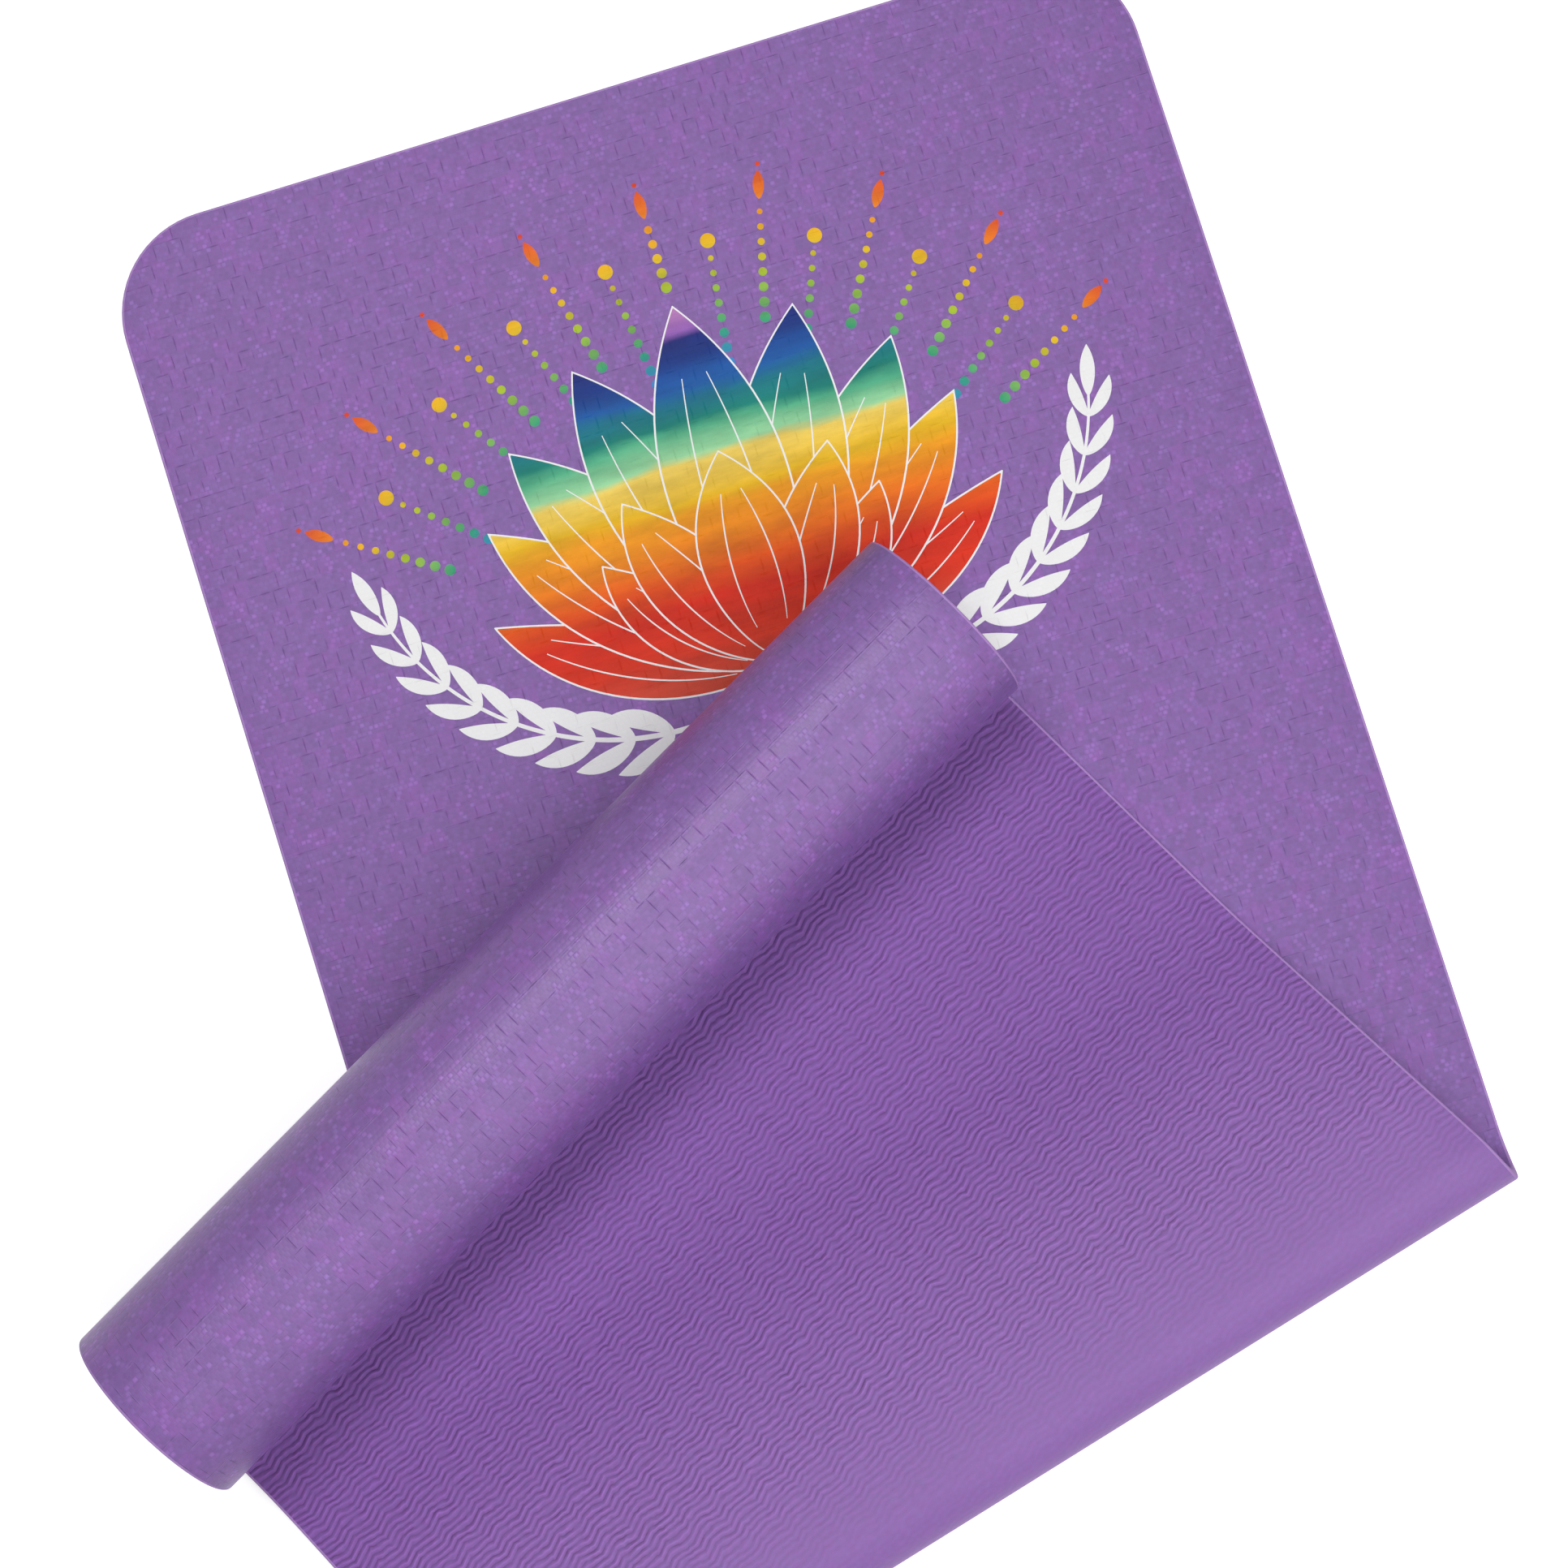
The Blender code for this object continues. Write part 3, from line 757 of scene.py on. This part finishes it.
def make_print(name, marks, ink):
    """One colour's film: flat grids of points, each at its own level, given a thickness downwards."""
    points, faces, first = [], [], 0
    for level, mark in marks:
        rows, columns = mark.shape[:2]
        high = np.full((rows, columns, 1), THICKNESS + level * LEVEL)
        points.append(np.concatenate([mark, high], -1).reshape(-1, 3))
        index = first + np.arange(rows * columns).reshape(rows, columns)
        quads = np.stack([index[:-1, :-1], index[:-1, 1:], index[1:, 1:], index[1:, :-1]], -1).reshape(-1, 4)
        first_side, second_side = mark[1, 1] - mark[0, 1], mark[1, 1] - mark[1, 0]
        turned = first_side[0] * second_side[1] - first_side[1] * second_side[0]
        faces.append(quads[:, ::-1] if turned > 0 else quads)
        first += rows * columns
    points = np.concatenate(points)
    mesh = bpy.data.meshes.new(name)
    mesh.from_pydata(points, [], np.concatenate(faces).tolist())
    sheet = np.stack([points[:, 0], FLAT / 2 - points[:, 1], points[:, 2]], -1)
    note_sheet(mesh, sheet)
    mesh.materials.append(ink)
    piece = bpy.data.objects.new(name, mesh)
    bpy.context.scene.collection.objects.link(piece)
    film = piece.modifiers.new("film", "SOLIDIFY")
    film.thickness, film.offset = FILM, -1
    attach(piece, "flat")


def in_object(tree):
    """Where the shaded point is, in Object coordinates."""
    return tree.nodes.new("ShaderNodeTexCoord").outputs["Object"]


INK_RELIEF = 0.00012
STREAK_STRETCH, WASH_STRETCH = (18, 70, 1), (9, 30, 1)
STREAK_LOW, STREAK_GAIN = 0.50, 1.0
WASH_DEPTH = 0.10
LOTUS_HEIGHT = 0.215
BURST_START, BURST_REACH = 0.15, 0.135


def new_ink(name, stops, place_of_colour):
    """An ink whose colour runs through stops of place and colour, over the foam's emboss."""
    material, tree, shader = new_material(name, roughness=0.60, specular=0.25)
    share = place_of_colour(tree)
    ramp = tree.nodes.new("ShaderNodeValToRGB")
    while len(ramp.color_ramp.elements) < len(stops):
        ramp.color_ramp.elements.new(1)
    for element, (position, colour) in zip(ramp.color_ramp.elements, stops):
        element.position, element.color = position, (*colour, 1)
    tree.links.new(share, ramp.inputs[0])
    stretched = add(tree, "Mapping", {"Vector": in_object(tree), "Scale": STREAK_STRETCH})
    streak = add(tree, "TexNoise", {"Vector": stretched, "Scale": 1, "Detail": 5, "Roughness": 0.6})
    wash = sums(tree, "MULTIPLY_ADD", streak, STREAK_GAIN, STREAK_LOW)
    tree.links.new(shaded(tree, ramp.outputs["Color"], wash), shader.inputs["Base Color"])
    emboss = use_group(tree, weave, {"Place": on_sheet(tree)})
    bumped(tree, shader, emboss.outputs["Height"], INK_RELIEF)
    return material


def warped_height(tree):
    """The share of the lotus's height, from Object coordinates, made uneven as washes of paint are."""
    place = in_object(tree)
    stretched = add(tree, "Mapping", {"Vector": place, "Scale": WASH_STRETCH})
    noise = add(tree, "TexNoise", {"Vector": stretched, "Scale": 1, "Detail": 4, "Roughness": 0.55})
    above = sums(tree, "SUBTRACT", split(tree, place)["Y"], LOTUS_FOOT[1])
    share = sums(tree, "SUBTRACT", sums(tree, "DIVIDE", above, LOTUS_HEIGHT), WASH_DEPTH / 2)
    return sums(tree, "MULTIPLY_ADD", noise, WASH_DEPTH, share, clamp=True)


def distance_out(tree):
    """The share of the burst's reach, as the distance from the lotus's foot, from Object coordinates."""
    foot = (*LOTUS_FOOT, THICKNESS)
    out = add(tree, "VectorMath", {0: in_object(tree), 1: foot}, operation="SUBTRACT")
    distance = add(tree, "VectorMath", {0: out}, operation="LENGTH")
    past = sums(tree, "SUBTRACT", distance, BURST_START)
    return sums(tree, "DIVIDE", past, BURST_REACH, clamp=True)


WASHES = [
    (0.00, (0.62, 0.060, 0.030)), (0.09, (0.70, 0.030, 0.006)), (0.20, (0.62, 0.018, 0.003)),
    (0.27, (0.74, 0.080, 0.003)), (0.34, (0.80, 0.190, 0.004)), (0.43, (0.82, 0.320, 0.006)),
    (0.47, (0.80, 0.470, 0.008)), (0.56, (0.84, 0.610, 0.110)), (0.58, (0.30, 0.640, 0.330)),
    (0.64, (0.08, 0.400, 0.220)), (0.67, (0.002, 0.190, 0.150)), (0.73, (0.003, 0.160, 0.230)),
    (0.77, (0.006, 0.095, 0.350)), (0.84, (0.003, 0.030, 0.210)), (0.89, (0.006, 0.014, 0.150)),
    (0.92, (0.280, 0.110, 0.430)), (1.00, (0.540, 0.230, 0.500))]
BURST = [
    (0.00, (0.07, 0.08, 0.50)), (0.18, (0.03, 0.22, 0.50)), (0.32, (0.03, 0.34, 0.17)),
    (0.52, (0.33, 0.50, 0.03)), (0.70, (0.80, 0.46, 0.01)), (0.88, (0.78, 0.18, 0.01)),
    (1.00, (0.72, 0.06, 0.02))]
lotus_ink = new_ink("lotus_ink", WASHES, warped_height)
burst_ink = new_ink("burst_ink", BURST, distance_out)

WHITE_RELIEF = 0.00010
WHITE_LOW, WHITE_GAIN = 0.84, 0.04
white_ink, tree, shader = new_material("white_ink", roughness=0.5, specular=0.3)
emboss = use_group(tree, weave, {"Place": on_sheet(tree)})
cover = sums(tree, "MULTIPLY_ADD", emboss.outputs["Height"], WHITE_GAIN, WHITE_LOW)
tree.links.new(shaded(tree, (1.0, 1.0, 1.0), cover), shader.inputs["Base Color"])
bumped(tree, shader, emboss.outputs["Height"], WHITE_RELIEF)

# Lean, turn, length and width of the lotus's petals, from the back to the front. Each is drawn in white
# and then in colour, a line's width smaller, with two fine veins.
PETALS = [
    (84, -34, 0.168, 0.050), (62, -24, 0.184, 0.062), (42, -12, 0.196, 0.074), (21, -4, 0.204, 0.082),
    (0, 0, 0.212, 0.088), (66, -40, 0.118, 0.048), (40, -22, 0.128, 0.060), (0, 0, 0.124, 0.072)]
VEIN = 0.0009
VEIN_START, VEIN_END, VEIN_STEPS = 0.16, 0.80, 24
VEIN_PLACE, VEIN_CLOSING = 0.5, 0.3
FIRST_LEVEL, LEVEL_STEP = 2, 1.5
COLOUR_ABOVE, VEIN_ABOVE = 0.5, 1
lotus, outlines = [], []
level = FIRST_LEVEL
for lean, turn, length, width in PETALS:
    for hand in ((1, -1) if lean else (1,)):
        shape = (LOTUS_FOOT, math.radians(hand * lean), math.radians(hand * turn), length, width)
        outlines.append((level, petal(*shape)))
        lotus.append((level + COLOUR_ABOVE, petal(*shape, inset=OUTLINE)))
        share = np.linspace(VEIN_START, VEIN_END, VEIN_STEPS)
        middle, heading = arc(*shape[:4], share)
        side = np.stack([np.cos(heading), -np.sin(heading)], -1)
        for way in (-VEIN_PLACE, VEIN_PLACE):
            reach = petal_width(share) * width / 2 * way * (1 - share) ** VEIN_CLOSING
            vein = ribbon(middle + side * reach[:, None], VEIN * np.sin(math.pi * share))
            outlines.append((level + VEIN_ABOVE, vein))
        level += LEVEL_STEP
make_print("print_lotus", lotus, lotus_ink)

# The burst of dots: rays above the petals, smaller outwards. Every second ray ends in a drop with a
# point beyond it, and the others in one large dot.
RAYS = 17
SPREAD = 58
LONG_START, LONG_END = 0.196, 0.264
SHORT_START, SHORT_END = 0.172, 0.238
MIDDLE_START = 0.223
DOT_STEP, DOT_RADIUS, DOT_LOSS = 0.0088, 0.0032, 0.00022
DROP_LENGTH, DROP_WIDTH, DROP_GAP = 0.0170, 0.0080, 0.001
POINT_RADIUS, POINT_GAP = 0.0014, 0.0035
BIG_RADIUS, BIG_GAP = 0.0044, 0.006
burst = []
for number in range(RAYS):
    angle = math.radians(SPREAD * (2 * number / (RAYS - 1) - 1))
    way = np.array([math.sin(angle), math.cos(angle)])
    long_ray = number % 2 == 0
    begin, finish = (LONG_START, LONG_END) if long_ray else (SHORT_START, SHORT_END)
    begin = MIDDLE_START if number == RAYS // 2 else begin
    for step, out in enumerate(np.arange(begin, finish, DOT_STEP)):
        burst.append((1, dot(LOTUS_FOOT + way * out, DOT_RADIUS - DOT_LOSS * step)))
    if long_ray:
        seat = LOTUS_FOOT + way * (finish + DROP_GAP)
        burst.append((1, petal(seat, angle, 0, DROP_LENGTH, DROP_WIDTH, steps=16, columns=5)))
        burst.append((1, dot(seat + way * (DROP_LENGTH + POINT_GAP), POINT_RADIUS)))
    else:
        burst.append((1, dot(LOTUS_FOOT + way * (finish + BIG_GAP), BIG_RADIUS)))
make_print("print_burst", burst, burst_ink)

# The sprigs: a stem that sweeps out from under the lotus, with pairs of leaves and a bud at its end
STEM, STEM_TAPER, STEM_STEPS = 0.0036, 0.6, 90
STEM_LENGTH = 0.266
STEM_LEAN, STEM_BEND = math.radians(112), math.radians(98)
STEM_ASIDE, STEM_BELOW = 0.004, 0.012
LEAVES = 9
LEAVES_START, LEAVES_END = 0.26, 0.94
LEAF_LENGTH, LEAF_WIDTH, LEAF_BEND = 0.044, 0.0145, 0.7
LEAF_LEAN = math.radians(44)
LEAF_MOST, LEAF_LOSS = 1.05, 0.45
STEM_LEVEL, LEAF_LEVEL, HAND_STEP, PAIR_STEP = 0.3, 0.6, 0.3, 0.6
BUD_SEAT, BUD_LENGTH, BUD_WIDTH = 0.985, 0.030, 0.0105
for hand in (-1, 1):
    foot = LOTUS_FOOT + np.array([hand * STEM_ASIDE, -STEM_BELOW])
    shape = (foot, hand * STEM_LEAN, -hand * STEM_BEND, STEM_LENGTH)
    share = np.linspace(0, 1, STEM_STEPS)
    middle, heading = arc(*shape, share)
    outlines.append((STEM_LEVEL, ribbon(middle, STEM * (1 - STEM_TAPER * share))))
    seats = np.linspace(LEAVES_START, LEAVES_END, LEAVES)
    middle, heading = arc(*shape, seats)
    for number in range(LEAVES):
        size = LEAF_MOST - LEAF_LOSS * seats[number]
        for rank, way in enumerate((-1, 1)):
            lean = heading[number] + way * LEAF_LEAN
            length, width = LEAF_LENGTH * size, LEAF_WIDTH * size
            leaf = petal(middle[number], lean, -way * LEAF_BEND, length, width, steps=20, columns=6)
            outlines.append((LEAF_LEVEL + HAND_STEP * rank + PAIR_STEP * (number % 2), leaf))
    tip, heading = arc(*shape, np.array([BUD_SEAT]))
    bud = petal(tip[0], heading[0], 0, BUD_LENGTH, BUD_WIDTH, steps=20, columns=6)
    outlines.append((LEAF_LEVEL, bud))
make_print("print_white", outlines, white_ink)

# The room: a plain pale floor, and soft light from above, as in a studio. To the camera, the floor and
# what lies beyond it are white, and the floor keeps the mat's shadow. The floor's own glow grows away
# from the mat, where less of the light falls.
FLOOR_COLOUR = (0.72, 0.72, 0.72, 1)
GLOW_NEAR, GLOW_FAR = 0.60, 1
GLOW_START, GLOW_END = 1.3, 3.2
FLOOR_HALF, FLOOR_HEIGHT = 6, -0.0001


def seen_ways(tree):
    """1 for what the camera sees, straight, mirrored or through something clear, and 0 for bounced light."""
    seen = tree.nodes.new("ShaderNodeLightPath")
    ways = sums(tree, "MAXIMUM", seen.outputs["Is Camera Ray"], seen.outputs["Is Glossy Ray"])
    return sums(tree, "MAXIMUM", ways, seen.outputs["Is Transmission Ray"])


floor_white, tree, shader = new_material("floor_white", roughness=0.9, specular=0.0)
shader.inputs["Base Color"].default_value = FLOOR_COLOUR
away = add(tree, "VectorMath", {0: in_object(tree)}, operation="LENGTH")
whiter = ease(tree, away, GLOW_START, GLOW_END, GLOW_NEAR, GLOW_FAR)
glow = add(tree, "Emission", {"Strength": sums(tree, "MULTIPLY", seen_ways(tree), whiter)})
both = add(tree, "AddShader", {0: shader.outputs[0], 1: glow})
tree.links.new(both, tree.nodes["Material Output"].inputs["Surface"])
sides = np.array([-FLOOR_HALF, FLOOR_HALF])
across, along = np.meshgrid(sides, sides)
corners = np.stack([across, along, np.full((2, 2), FLOOR_HEIGHT)], -1).reshape(-1, 3)
mesh = bpy.data.meshes.new("floor")
mesh.from_pydata(corners, [], [(0, 1, 3, 2)])
mesh.materials.append(floor_white)
floor = bpy.data.objects.new("floor", mesh)
bpy.context.scene.collection.objects.link(floor)

AMBIENT = 0.13
MAT_MIDDLE = np.array([0.00, 0.05, 0])
SOFTBOX_DISTANCE = 2.6

world = bpy.data.worlds.new("studio")
world.use_nodes = True
tree = world.node_tree
strength = sums(tree, "MULTIPLY_ADD", seen_ways(tree), 1 - AMBIENT, AMBIENT)
tree.links.new(strength, tree.nodes["Background"].inputs["Strength"])
tree.nodes["Background"].inputs["Color"].default_value = (1, 1, 1, 1)
bpy.context.scene.world = world


def hang_softbox(name, tilt, size, watts):
    """A round softbox that faces the mat. It is tilted from upright over the flap, square to the roll."""
    light = bpy.data.lights.new(name, "AREA")
    light.shape, light.size, light.energy = "DISK", size, watts
    softbox = bpy.data.objects.new(name, light)
    way = math.sin(tilt) * -ALONG_FLAP + math.cos(tilt) * UP
    softbox.location = MAT_MIDDLE + SOFTBOX_DISTANCE * way
    softbox.rotation_euler = [0, math.acos(way[2]), math.atan2(way[1], way[0])]
    bpy.context.scene.collection.objects.link(softbox)


hang_softbox("softbox_high", tilt=math.radians(-20), size=1.2, watts=31)
hang_softbox("softbox_low", tilt=math.radians(24), size=2.0, watts=29)
hang_softbox("softbox_side", tilt=math.radians(58), size=1.4, watts=12)

bpy.context.scene.view_settings.view_transform = "Standard"
